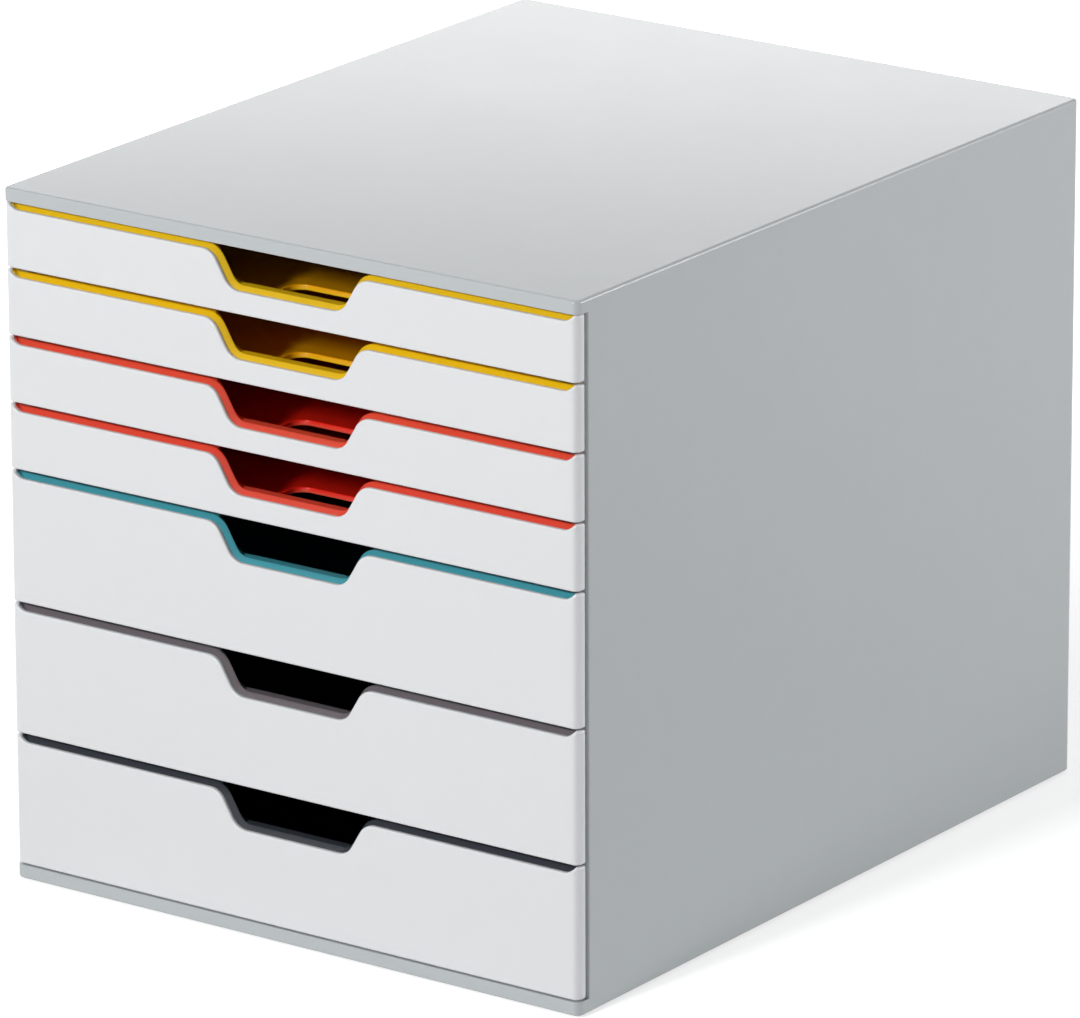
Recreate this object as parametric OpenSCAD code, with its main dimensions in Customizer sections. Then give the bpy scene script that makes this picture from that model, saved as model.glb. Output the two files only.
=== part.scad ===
// Plastic drawer tower: a closed housing with seven sliding trays, each behind its own snap-on front.
// Millimetres. X is across the tower and centred, Y runs back from the front, Z is up from the table.
// Sizes called "behind the front" are measured back from the face of the drawer fronts.

/* [Housing] */
// Overall width
width = 280; // [272:1:320]
// Overall depth
depth = 356; // [350:1:400]
// Thickness of each side wall
side_wall = 3; // [2.4:0.1:4]
// Thickness of the top and of the base
plate_t = 3; // [2.4:0.1:4]
// Height of the rail below the lowest drawer
rail_h = 5.9; // [5:0.1:10]
// Height of the fascia above the top drawer
fascia_h = 5.5; // [5:0.1:10]
// Plan radius of the upright corners
corner_r = 3; // [2.4:0.1:6]
// Rounding of the edges round the top
top_edge_r = 1.2; // [0.6:0.1:2.2]
// Rounding of the edges round the base
base_edge_r = 1; // [0.4:0.1:2]
// Width of the side wall's front edge, seen from the front
lip_w = 7.5; // [7:0.1:10]
// Depth of that front edge
lip_t = 3.5; // [2:0.1:6]
// Rounding of its outer corner
lip_edge_r = 1.2; // [0.4:0.1:2]

/* [Back panel] */
// Thickness of the back panel
back_t = 2.4; // [1.6:0.1:4]
// Ledge of the housing that the back panel seats against
back_ledge = 1.2; // [0.8:0.1:1.6]
// How far the panel lies inside the rear edge
back_inset = 1; // [0.4:0.1:3]
// Height of the stiffening ribs on its inner face
back_rib_h = 1.6; // [0.8:0.1:3]
// Width of each stiffening rib
back_rib_w = 2; // [1.2:0.1:4]
// Clearance round the panel's edge
back_fit = 0.1; // [0.05:0.05:0.3]

/* [Drawer pitch] */
// Height that a shallow drawer takes up
shallow_pitch = 28; // [26:0.5:40]
// Height that a deep drawer takes up
deep_pitch = 56; // [45:0.5:80]

/* [Drawer fronts] */
// Thickness of the front's face
front_t = 2; // [1.2:0.1:2.4]
// Depth of its side returns
front_depth = 5.1; // [4:0.1:9]
// Thickness of the side returns
return_t = 2; // [1.4:0.1:2.6]
// How far each front stands in from the housing's side
front_inset = 0.4; // [0.2:0.1:1]
// Gap between the returns and the housing's front edge
front_gap = 1.2; // [0.8:0.1:2]
// Gap under each front
under_gap = 0.6; // [0.5:0.1:1.5]
// Drop from a drawer's upper pitch line to its top edge
top_drop = 3.2; // [2.4:0.1:4]
// Drop from the same line to the ears at the ends
ear_drop = 0.3; // [0.25:0.05:1.2]
// Width of an ear's flat top
ear_w = 1.2; // [0.8:0.1:2]
// Width over which the top edge sweeps up to an ear
sweep_w = 4.4; // [3:0.1:8]
// Radius where that sweep leaves the top edge
sweep_r = 5; // [2:0.1:8]
// Rounding of the front's outer corners, seen from the front
front_corner_r = 0.8; // [0.4:0.1:1.2]

/* [Finger cut-outs] */
// Depth below the drawer's top edge
cut_depth = 14.9; // [10:0.1:16]
// Width across the bottom, to the sharp corners
cut_bottom_w = 54.4; // [40:0.2:90]
// Width across the top, to the sharp corners
cut_top_w = 72.2; // [60:0.2:120]
// Rounding of the two lower corners
cut_low_r = 4.5; // [2:0.1:6]
// Rounding of the two upper corners
cut_high_r = 5.5; // [3:0.1:7]
// Depth of the coloured edge that the fingers meet, behind the drawer front
grip_depth = 4.6; // [4:0.1:5.2]
// How far the wall behind that edge stands back at each flank
grip_step = 2; // [0.5:0.1:4]

/* [Trays] */
// Thickness of the side and rear walls
tray_wall = 2; // [1.6:0.1:2.6]
// Thickness of the front wall
front_wall = 2.7; // [2:0.1:3.5]
// Floor thickness
floor_t = 1.8; // [1.4:0.1:2.4]
// Gap between a drawer's lower pitch line and its floor
floor_gap = 0.8; // [0.5:0.1:1.2]
// Thickness of the hollow front rim's skin
rim_skin = 1.6; // [1.2:0.1:2]
// Depth of the rim behind the drawer front
rim_depth = 3.9; // [3.2:0.1:6]
// Distance from the housing's back to the tray's back wall
rear_space = 14; // [11:0.5:30]
// Outer radius of the tray's rear corners
tray_corner_r = 6; // [3:0.5:12]
// Width of the flange that the tray slides on
flange_w = 3.7; // [3:0.1:5]
// Thickness of the flange
flange_t = 2; // [1.6:0.1:2.6]
// Radius of the cove between the floor and the side walls
cove_r = 3; // [1.5:0.1:5]
// Thickness of the ribs inside the hollow rim
rim_rib_t = 1.2; // [0.8:0.1:2]
// Distance between those ribs
rim_rib_gap = 30; // [20:1:60]

/* [Finger holes in the shallow trays] */
// Width of the hole in the floor
hole_w = 50; // [30:1:80]
// Distance from the front wall to the hole
hole_start = 4; // [3:0.5:10]
// Length of the hole, front to back
hole_len = 29; // [20:0.5:40]
// Corner radius of the hole
hole_r = 6; // [3:0.5:10]
// Width of the raised bead round it
bead_w = 2; // [1.4:0.1:3]
// Height of the bead above the floor
bead_h = 0.5; // [0.3:0.1:2]

/* [Runners] */
// Thickness of a runner rack's plate
rack_t = 2.2; // [1.6:0.1:3]
// Thickness of the ledges that carry the flanges
ledge_t = 2; // [1.6:0.1:3]
// Thickness of the guide ribs above the flanges
guide_t = 1.5; // [1.2:0.1:1.5]
// Clearance between a flange and its ledge
slide_clear = 0.3; // [0.2:0.05:0.5]
// Clearance between a flange and the guide rib above it
guide_clear = 0.5; // [0.3:0.05:0.6]
// Clearance beside the tray wall and the flange
side_clear = 0.8; // [0.5:0.1:1.2]
// Length of a gusset under a ledge
gusset_h = 6; // [3:0.5:9]
// Thickness of a gusset
gusset_t = 1.6; // [1.2:0.1:3]
// How far a drawer opens before its stop ears meet the lugs
travel = 250; // [150:5:280]
// Length of a stop lug and of a stop ear
stop_len = 6; // [4:0.5:10]
// Distance left at the stop when a drawer is at its limit
stop_clear = 0.5; // [0.3:0.1:1]

/* [Feet] */
// Radius of a foot
foot_r = 7; // [5:0.5:10]
// Depth of the pocket that holds a foot
foot_sunk = 1.6; // [1:0.1:1.8]
// How far a foot stands below the base
foot_proud = 0.6; // [0.4:0.1:1]
// Distance of a foot from the front or back
foot_end = 28; // [20:1:60]
// Distance of a foot from the side
foot_side = 24; // [18:1:60]
// Clearance round a foot in its pocket
foot_fit = 0.2; // [0.1:0.05:0.4]

/* [Hidden] */
$fn = 64;

housing_grey = [0.71, 0.73, 0.74];
rack_grey = [0.55, 0.57, 0.58];
front_white = [0.90, 0.91, 0.92];
rubber_black = [0.08, 0.08, 0.09];
tray_yellow = [0.88, 0.66, 0.07];
tray_red = [0.85, 0.26, 0.17];
tray_teal = [0.18, 0.58, 0.64];
tray_taupe = [0.42, 0.38, 0.39];
tray_anthracite = [0.20, 0.22, 0.25];

// Drawers, counted from the top
pitches = [
    shallow_pitch, shallow_pitch, shallow_pitch, shallow_pitch,
    deep_pitch, deep_pitch, deep_pitch
];
tray_colours = [
    tray_yellow, tray_yellow, tray_red, tray_red, tray_teal, tray_taupe, tray_anthracite
];
drawer_count = len(pitches);
foot_names = ["foot_front_left", "foot_front_right", "foot_rear_left", "foot_rear_right"];

// Sum of the pitches of the drawers below drawer k
function stack(k) = k >= drawer_count ? 0 : pitches[k] + stack(k + 1);
// Lower pitch line of drawer k
function line_z(k) = foot_proud + rail_h + stack(k);
// Top edge of drawer k
function top_z(k) = line_z(k) + pitches[k - 1] - top_drop;
function ear_z(k) = top_z(k) + ear_h;

zone_top = line_z(0);
housing_top = zone_top + fascia_h;
ear_h = top_drop - ear_drop;
front_zone = front_depth + front_gap;
over = 1;

// Widths, each half of the whole
half_w = width / 2;
wall_in = half_w - side_wall;
lip_in = half_w - lip_w;
flange_half = lip_in - side_clear;
tray_half = flange_half - flange_w;
front_half = half_w - front_inset;
rim_half = front_half - return_t;
rack_in = wall_in - rack_t;
ledge_tip = tray_half + side_clear;

// Depths, each behind the front
cavity_start = front_zone + lip_t;
panel_front = depth - back_inset - back_t;
rim_back = front_t + rim_depth;
tray_back = depth - rear_space;
ear_start = tray_back - stop_len;
lug_end = ear_start - travel - stop_clear;
inside_start = rim_back + front_wall;
hole_front = inside_start + hole_start;
ledge_end = tray_back + flange_w;

// Ribs in the rim on each side of the cut-out
rim_rib_count = floor((rim_half - cut_top_w / 2 - cut_high_r) / rim_rib_gap);

// Inside bend of a front, and the slightly looser corner of the rim that lies in it
bend_r = corner_r - min(front_t, return_t);
rim_corner_r = bend_r + 0.1;

// Slope of a cut-out's flanks
cut_slope = (cut_top_w - cut_bottom_w) / 2 / cut_depth;

// Moves what is measured from the front into the tower's own frame
module behind_front() {
    translate([0, -depth / 2, 0]) children();
}

// What rounding takes off a corner whose two edges run along +x and +y
module corner_waste(r) {
    difference() {
        translate([-over, -over]) square(r + over);
        translate([r, r]) circle(r);
    }
}

// Upright profile of width w and height h with its own radii at the top and the bottom
module edge_profile(w, h, top_r, bottom_r) {
    difference() {
        translate([-w / 2, 0]) square([w, h]);
        for (side = [0, 1]) mirror([side, 0]) {
            translate([-w / 2, 0]) corner_waste(bottom_r);
            translate([-w / 2, h]) mirror([0, 1]) corner_waste(top_r);
        }
    }
}

// Block with rounded upright corners and rounded top and bottom edges, its front at y = 0
module soft_block(w, d, h, plan_r, top_r, bottom_r) {
    translate([0, d / 2, 0]) {
        rotate([90, 0, 90])
            linear_extrude(w - 2 * plan_r, center = true) edge_profile(d, h, top_r, bottom_r);
        rotate([90, 0, 0])
            linear_extrude(d - 2 * plan_r, center = true) edge_profile(w, h, top_r, bottom_r);
        for (sx = [-1, 1], sy = [-1, 1])
            translate([sx * (w / 2 - plan_r), sy * (d / 2 - plan_r), 0])
                rotate_extrude() intersection() {
                    edge_profile(2 * plan_r, h, top_r, bottom_r);
                    square([plan_r, h]);
                }
    }
}

// Box centred on x, from y0 to y1 and from z0 to z1
module slab(half, y0, y1, z0, z1) {
    translate([-half, y0, z0]) cube([2 * half, y1 - y0, z1 - z0]);
}

// ---- housing ----

module housing_shell() {
    color(housing_grey) behind_front() difference() {
        translate([0, 0, foot_proud])
            soft_block(width, depth, housing_top - foot_proud, corner_r, top_edge_r, base_edge_r);
        // room for the trays and the runner racks
        slab(wall_in, cavity_start, depth + over, foot_proud + plate_t, housing_top - plate_t);
        // step that the back panel seats against
        slab(wall_in + back_ledge, panel_front, depth + over,
            foot_proud + plate_t - back_ledge, housing_top - plate_t + back_ledge);
        // opening between the two front edges
        slab(lip_in, -over, cavity_start + over, line_z(drawer_count), zone_top);
        // the side walls stop short, behind the fronts
        slab(half_w + over, -over, front_zone, line_z(drawer_count), zone_top);
        for (side = [0, 1]) mirror([side, 0, 0])
            translate([-half_w, front_zone, line_z(drawer_count)])
                linear_extrude(zone_top - line_z(drawer_count)) corner_waste(lip_edge_r);
        foot_places() cylinder(r = foot_r + foot_fit, h = foot_sunk + foot_proud);
    }
}

module back_panel() {
    panel_half = wall_in + back_ledge - back_fit;
    panel_low = foot_proud + plate_t - back_ledge + back_fit;
    panel_high = housing_top - plate_t + back_ledge - back_fit;
    rib_low = foot_proud + plate_t + back_ledge;
    rib_high = housing_top - plate_t - back_ledge;
    rib_gap = 2 * (rack_in - back_ledge) / 6;
    color(housing_grey) behind_front() {
        slab(panel_half, panel_front, panel_front + back_t, panel_low, panel_high);
        for (k = [-2 : 2])
            translate([k * rib_gap, 0, 0])
                slab(back_rib_w / 2, panel_front - back_rib_h, panel_front, rib_low, rib_high);
    }
}

module foot_places() {
    for (sx = [-1, 1], y = [foot_end, depth - foot_end])
        translate([sx * (half_w - foot_side), y, 0]) children();
}

// Disc with a dished, non-slip underside
module foot(k) {
    sx = k % 2 == 0 ? -1 : 1;
    y = k < 2 ? foot_end : depth - foot_end;
    dish_r = foot_r / 2;
    color(rubber_black) behind_front()
        translate([sx * (half_w - foot_side), y, 0]) difference() {
            cylinder(r = foot_r, h = foot_sunk + foot_proud);
            translate([0, 0, -over]) cylinder(r = dish_r, h = over + foot_proud / 2);
        }
}

// ---- runners ----

// Rack on the left wall; the right one is its mirror image
module runner_rack() {
    color(rack_grey) behind_front() {
        translate([-wall_in, cavity_start, foot_proud + plate_t])
            cube([rack_t, panel_front - back_ledge - cavity_start,
                housing_top - foot_proud - 2 * plate_t]);
        for (k = [1 : drawer_count]) runner_channel(top_z(k));
    }
}

// Ledge, guide rib, gussets and stop lug of one drawer, whose top edge is at z
module runner_channel(z) {
    ledge_z = z - flange_t - slide_clear;
    guide_z = z + guide_clear;
    gusset_count = 4;
    gusset_gap = (ledge_end - cavity_start - 2 * stop_len) / (gusset_count - 1);
    translate([-rack_in, cavity_start, ledge_z - ledge_t])
        cube([rack_in - ledge_tip, ledge_end - cavity_start, ledge_t]);
    translate([-rack_in, cavity_start, guide_z])
        cube([rack_in - ledge_tip, ledge_end - cavity_start, guide_t]);
    // the lug fills the channel beside the flange, between ledge and guide
    translate([-rack_in, lug_end - stop_len, ledge_z])
        cube([rack_in - lip_in, stop_len, guide_z - ledge_z]);
    for (k = [0 : gusset_count - 1])
        translate([-rack_in, cavity_start + stop_len + k * gusset_gap, ledge_z - ledge_t])
            rotate([90, 0, 0]) linear_extrude(gusset_t, center = true)
                polygon([[0, 0], [rack_in - ledge_tip - over, 0], [0, -gusset_h]]);
}

// ---- drawers ----

// Outline of the finger cut-out, grown outwards by g. Its top line is at y = -g.
// Each corner is the sharp one with the part outside its arc added or taken away.
module cut_outline(g) {
    slant = sqrt(1 + cut_slope * cut_slope);
    low_y = -cut_depth - g;
    high_y = -g;
    low_x = cut_bottom_w / 2 - cut_slope * g + g * slant;
    high_x = low_x + cut_slope * cut_depth;
    low_r = cut_low_r + g;
    high_r = cut_high_r - g;
    turn = 90 - atan(cut_slope);
    low_t = low_r * tan(turn / 2);
    high_t = high_r * tan(turn / 2);
    difference() {
        polygon([[-low_x, low_y], [low_x, low_y], [high_x, high_y], [high_x, high_y + over],
            [-high_x, high_y + over], [-high_x, high_y]]);
        for (side = [0, 1]) mirror([side, 0]) difference() {
            polygon([[low_x - low_t, low_y - over], [low_x + over, low_y - over],
                [low_x + low_t * cut_slope / slant, low_y + low_t / slant],
                [low_x - low_t, low_y + low_r]]);
            translate([low_x - low_t, low_y + low_r]) circle(low_r);
        }
    }
    for (side = [0, 1]) mirror([side, 0]) difference() {
        polygon([[high_x - over, high_y + over], [high_x - over, high_y],
            [high_x - high_t * cut_slope / slant, high_y - high_t / slant],
            [high_x + high_t, high_y - high_r], [high_x + high_t, high_y + over]]);
        translate([high_x + high_t, high_y - high_r]) circle(high_r);
    }
}

// The cut-out as a solid through y0 to y1, below a top edge at z
module cut_tool(z, y0, y1, g = 0) {
    translate([0, y1, z]) rotate([90, 0, 0]) linear_extrude(y1 - y0) cut_outline(g);
}

// Outline of the space above a drawer's top edge, which sweeps up to an ear at each end
module top_outline() {
    corner_x = front_half - ear_w - sweep_w;
    sweep = atan(ear_h / sweep_w);
    t = sweep_r * tan(sweep / 2);
    difference() {
        polygon([[-corner_x, 0], [corner_x, 0], [corner_x + 2 * sweep_w, 2 * ear_h],
            [-corner_x - 2 * sweep_w, 2 * ear_h]]);
        for (side = [0, 1]) mirror([side, 0]) difference() {
            polygon([[corner_x - t, -over], [corner_x + over, -over],
                [corner_x + t * cos(sweep), t * sin(sweep)], [corner_x - t, sweep_r]]);
            translate([corner_x - t, sweep_r]) circle(sweep_r);
        }
    }
}

// That space as a solid through y0 to y1, above a top edge at z
module top_tool(z, y0, y1) {
    translate([0, y1, z]) rotate([90, 0, 0]) linear_extrude(y1 - y0) top_outline();
}

// Face with two side returns, whose tops stand up as ears beside the tray's rim
module drawer_front(k) {
    low = line_z(k) + under_gap;
    color(front_white) behind_front() difference() {
        intersection() {
            translate([0, 0, low]) linear_extrude(ear_z(k) - low) difference() {
                front_plan(front_half, 0, corner_r);
                front_plan(rim_half, front_t, bend_r);
            }
            translate([0, front_depth, low])
                rotate([90, 0, 0]) linear_extrude(front_depth)
                    edge_profile(2 * front_half, ear_z(k) - low, front_corner_r, front_corner_r);
        }
        top_tool(top_z(k), -over, front_depth + over);
        cut_tool(top_z(k), -over, front_t + over);
    }
}

// Plan of a front from y to the ends of its returns, with the two front corners rounded
module front_plan(half, y, r) {
    difference() {
        translate([-half, y]) square([2 * half, front_depth + (y > 0 ? over : 0) - y]);
        for (side = [0, 1]) mirror([side, 0]) translate([-half, y]) corner_waste(r);
    }
}

// Rounded rectangle in plan, its front edge at y0 and only its rear corners rounded
module tray_plan(half, y0, y1, r) {
    difference() {
        translate([-half, y0]) square([2 * half, y1 - y0]);
        for (side = [0, 1]) mirror([side, 0])
            translate([-half, y1]) mirror([0, 1]) corner_waste(r);
    }
}

module hole_plan(grow) {
    w = hole_w / 2 + grow;
    r = hole_r + grow;
    y0 = hole_front - grow;
    y1 = hole_front + hole_len + grow;
    difference() {
        translate([-w, y0]) square([2 * w, y1 - y0]);
        for (side = [0, 1]) mirror([side, 0]) {
            translate([-w, y0]) corner_waste(r);
            translate([-w, y1]) mirror([0, 1]) corner_waste(r);
        }
    }
}

// Open box with a sliding flange on three sides and a hollow front rim
module tray(k) {
    low = line_z(k) + floor_gap;
    floor_z = low + floor_t;
    high = top_z(k);
    rim_low = line_z(k) + under_gap;
    shallow = pitches[k - 1] == shallow_pitch;
    color(tray_colours[k - 1]) behind_front() difference() {
        union() {
            translate([0, 0, low]) linear_extrude(high - low)
                tray_plan(tray_half, rim_back, tray_back, tray_corner_r);
            translate([0, 0, high - flange_t]) linear_extrude(flange_t)
                tray_plan(flange_half, rim_back, tray_back + flange_w, tray_corner_r + flange_w);
            for (side = [0, 1]) mirror([side, 0, 0]) stop_ear(high);
            rim_block(high, rim_low);
            if (shallow)
                translate([0, 0, low]) linear_extrude(floor_t + bead_h) hole_plan(bead_w);
        }
        difference() {
            tray_inside(floor_z, high);
            if (shallow)
                translate([0, 0, low]) linear_extrude(floor_t + bead_h) hole_plan(bead_w);
        }
        rim_pocket(high, rim_low);
        cut_tool(high, front_t - over, inside_start + over);
        for (side = [-1, 1]) translate([side * grip_step, 0, 0])
            cut_tool(high, front_t + grip_depth, inside_start + over);
        if (shallow)
            translate([0, 0, low - over]) linear_extrude(2 * over + floor_t + bead_h) hole_plan(0);
    }
}

// Room inside the walls, with coves along the foot of both side walls
module tray_inside(floor_z, high) {
    inner = tray_half - tray_wall;
    intersection() {
        translate([0, 0, floor_z]) linear_extrude(high - floor_z + over)
            tray_plan(inner, inside_start, tray_back - tray_wall, tray_corner_r - tray_wall);
        translate([0, tray_back, floor_z]) rotate([90, 0, 0])
            linear_extrude(tray_back - rim_back)
                edge_profile(2 * inner, high - floor_z + 2 * over, over / 2, cove_r);
    }
}

// Outward step at the rear end of the flange, which meets the lug on the rack
module stop_ear(high) {
    translate([flange_half - over, ear_start, high - flange_t])
        cube([over + rack_in - side_clear - flange_half, stop_len, flange_t]);
}

// Block behind the drawer front, in the shape of the front's inside, with the same sweep at its ends
module rim_block(high, rim_low) {
    difference() {
        translate([0, 0, rim_low]) linear_extrude(high + ear_h - rim_low) difference() {
            translate([-rim_half, front_t]) square([2 * rim_half, rim_depth]);
            for (side = [0, 1]) mirror([side, 0])
                translate([-rim_half, front_t]) corner_waste(rim_corner_r);
        }
        top_tool(high, front_t - over, rim_back + over);
    }
}

// Hollow under the rim: it leaves a skin at the top, at the front and round the cut-out
module rim_pocket(high, rim_low) {
    y0 = front_t + rim_skin;
    difference() {
        slab(rim_half - rim_skin, y0, rim_back, rim_low - over, high - rim_skin);
        cut_tool(high, y0 - over, rim_back + over, rim_skin);
        for (side = [-1, 1], k = [0 : rim_rib_count - 1])
            translate([side * (cut_top_w / 2 + cut_high_r + (k + 0.5) * rim_rib_gap), 0, 0])
                slab(rim_rib_t / 2, y0 - over, rim_back + over, rim_low - 2 * over, high);
    }
}

housing_shell();
back_panel();
runner_rack();  // left_runner_rack
mirror([1, 0, 0]) runner_rack();  // right_runner_rack
for (k = [0 : 3]) foot(k);
for (k = [1 : drawer_count]) tray(k);
for (k = [1 : drawer_count]) drawer_front(k);
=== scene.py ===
"""Looks of the plastic drawer tower: white fronts, coloured trays, grey housing, feet and the studio.

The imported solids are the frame. New pieces are worked out in millimetres, as x across the tower, y back
from the face of the drawer fronts and z up from the table. They go into meshes in metres, in the tower's own
frame.
"""

import math

import bmesh
import bpy
import numpy as np
from bpy.props import FloatProperty, FloatVectorProperty, PointerProperty
from mathutils import Matrix, Vector


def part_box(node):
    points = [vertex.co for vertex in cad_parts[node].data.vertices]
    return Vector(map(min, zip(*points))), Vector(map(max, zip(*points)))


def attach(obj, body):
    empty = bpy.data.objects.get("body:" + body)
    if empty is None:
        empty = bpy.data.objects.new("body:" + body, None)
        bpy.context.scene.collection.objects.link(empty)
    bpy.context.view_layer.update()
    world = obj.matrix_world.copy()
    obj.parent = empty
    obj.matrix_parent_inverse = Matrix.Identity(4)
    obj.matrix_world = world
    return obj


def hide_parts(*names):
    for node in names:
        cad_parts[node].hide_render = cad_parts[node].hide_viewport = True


bl_info = {
    "name": "Plastic drawer tower",
    "version": (1, 0, 0),
    "blender": (4, 5, 0),
    "location": "View3D > Sidebar > Drawer Tower",
    "description": "Builds the looks of a plastic drawer tower with coloured trays and white fronts",
    "category": "Object",
}

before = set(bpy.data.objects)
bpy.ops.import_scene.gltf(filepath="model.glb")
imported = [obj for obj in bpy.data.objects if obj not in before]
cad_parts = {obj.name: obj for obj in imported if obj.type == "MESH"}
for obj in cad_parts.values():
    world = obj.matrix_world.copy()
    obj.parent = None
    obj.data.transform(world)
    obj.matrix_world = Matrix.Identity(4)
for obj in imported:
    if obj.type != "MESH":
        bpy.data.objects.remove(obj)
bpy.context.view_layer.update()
HALF_WIDTH, HALF_DEPTH, _ = 1000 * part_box("housing_shell")[1]
# Width in millimetres of the housing's upright front edges, thickness of a runner rack's plate, and the
# clearance that a tray has to either
FRONT_EDGE_WIDTH = 7.5
RACK_PLATE = 2.2
SIDE_CLEARANCE = 0.8
# The trays' material slots, from the top drawer to the lowest
TRAY_SLOTS = (
    "tray_yellow",
    "tray_yellow",
    "tray_red",
    "tray_red",
    "tray_teal",
    "tray_taupe",
    "tray_anthracite",
)
# Drawers, counted from the top, whose floor has a finger hole
SHALLOW = 4
FEET = ("foot_front_left", "foot_front_right", "foot_rear_left", "foot_rear_right")
QUARTER = math.pi / 2
# Millimetres between an arc and the points that keep the shading of the flat face beside it level
BRACE = 0.06
# Smallest radius in millimetres that an inset leaves of an arc
SMALLEST_ARC = 0.02
# Millimetres by which shells of one piece run into each other, and by which a hidden face lies lower
OVERLAP = 0.3
SINK = 0.03


def box_mm(node):
    """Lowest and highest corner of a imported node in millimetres, with y measured back from the fronts."""
    low, high = (1000 * np.array(corner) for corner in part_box(node))
    shift = np.array([0, HALF_DEPTH, 0])
    return low + shift, high + shift


# ---- sizes and colours that a user would change ----


def length(name, description, value, low, high):
    """A length, given here in millimetres, with its lowest and highest value."""
    value, low, high = value / 1000, low / 1000, high / 1000
    return FloatProperty(
        name=name, description=description, default=value, min=low, max=high, unit="LENGTH", precision=5
    )


def colour(name, description, value):
    """A colour of one of the materials."""
    return FloatVectorProperty(
        name=name, description=description, default=value, size=3, min=0, max=1, subtype="COLOR"
    )


class TowerSizes(bpy.types.PropertyGroup):
    """Lengths of the fronts and the trays"""

    sheet: length("Front thickness", "Thickness of a drawer front's sheet", 2.0, 1.2, 2.4)
    bend: length("Front bend", "Outer radius of a front's bend round the corner", 3.0, 2.4, 6.0)
    front_edge: length("Front edge", "Rounding of a front's outer edges", 0.8, 0.3, 0.95)
    front_inner: length("Front inner edge", "Rounding of a front's inner edges", 0.3, 0.1, 0.6)
    front_end: length("Front end", "Rounding where a front ends at the tower's sides", 0.3, 0.1, 0.6)
    ear: length("Ear height", "How far a front's ears stand above its top edge", 2.9, 1.5, 4.0)
    ear_width: length("Ear width", "Width of the level part of an ear", 1.2, 0.6, 2.0)
    ear_round: length("Ear radius", "Rounding where an ear turns down into its sweep", 0.8, 0.3, 2.0)
    sweep: length("Sweep width", "Width over which the top edge sweeps up to an ear", 4.4, 3.0, 12.0)
    sweep_round: length("Sweep radius", "Radius at the foot of that sweep", 5.0, 1.0, 8.0)
    cut_depth: length("Cut-out depth", "Depth of the finger cut-out", 14.9, 10.0, 16.0)
    cut_bottom: length("Cut-out bottom width", "Width across the bottom of the cut-out", 54.4, 40.0, 90.0)
    cut_top: length("Cut-out top width", "Width across the top of the cut-out", 72.2, 60.0, 120.0)
    low_round: length("Lower corner radius", "Rounding of the cut-out's lower corners", 8.0, 3.0, 10.0)
    high_round: length("Upper corner radius", "Rounding of the cut-out's upper corners", 8.0, 3.0, 10.0)
    lip_rise: length("Lip rise", "How far the tray's lip stands above the front's edge", 1.5, 0.5, 2.2)
    lip_slope: length("Lip slope", "Depth over which the lip rises", 2.2, 1.0, 3.4)
    lip_flank: length("Lip at the flanks", "How far back the lip's rear lies at the flanks", 4.7, 4.6, 5.6)
    lip_round: length("Lip edge", "Rounding of the lip's front edge", 0.5, 0.2, 0.9)
    lip_rear: length("Lip rear edge", "Rounding of the lip's rear edge", 0.3, 0.1, 0.6)
    rim: length("Rim depth", "Depth of the tray's hollow rim", 3.9, 3.2, 6.0)
    rim_drop: length("Rim drop", "How far the rim reaches below the tray's floor", 0.2, 0.0, 1.0)
    skin: length("Rim skin", "Thickness of the hollow rim's skin", 1.6, 1.2, 2.0)
    rib: length("Rib thickness", "Thickness of the ribs in the hollow rim", 1.2, 0.8, 2.0)
    rib_pitch: length("Rib spacing", "Distance from one rib to the next", 30.0, 15.0, 60.0)
    front_wall: length("Front wall", "Thickness of the tray's front wall", 2.7, 2.0, 3.5)
    flank_step: length("Flank step", "How far the front wall's opening stands off the lip", 2.0, 0.5, 4.0)
    wall: length("Wall", "Thickness of the tray's side and rear walls", 2.0, 1.6, 2.6)
    wall_round: length("Wall edge", "Rounding of the tray's upper edges", 0.5, 0.2, 0.9)
    floor: length("Floor", "Thickness of the tray's floor", 1.8, 1.4, 2.4)
    cove: length("Cove", "Radius of the cove along the foot of the walls", 3.0, 1.5, 5.0)
    flange: length("Flange width", "Width of the flange that the tray slides on", 3.7, 3.0, 5.0)
    flange_t: length("Flange thickness", "Thickness of that flange", 2.0, 1.6, 2.6)
    flange_root: length("Flange root", "Radius where the flange meets the wall below it", 0.6, 0.3, 1.2)
    foot_edge: length("Lower edge", "Rounding of the tray's lower edge", 0.8, 0.3, 1.5)
    stop_ear: length("Stop ear", "Length of the ear that stops the drawer", 6.0, 4.0, 10.0)
    rear_round: length("Rear corner radius", "Outer radius of the tray's rear corners", 6.0, 3.0, 12.0)
    hole_width: length("Hole width", "Width of the finger hole in a shallow tray's floor", 50.0, 30.0, 80.0)
    hole_start: length("Hole distance", "Distance from the tray's front wall to the hole", 4.0, 3.0, 10.0)
    hole_length: length("Hole length", "Length of the hole, front to back", 29.0, 20.0, 40.0)
    hole_round: length("Hole corner radius", "Corner radius of the hole", 6.0, 3.0, 10.0)
    bead: length("Bead width", "Width of the raised bead round the hole", 2.0, 1.4, 3.0)
    bead_rise: length("Bead height", "Height of that bead", 0.5, 0.3, 2.0)


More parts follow.
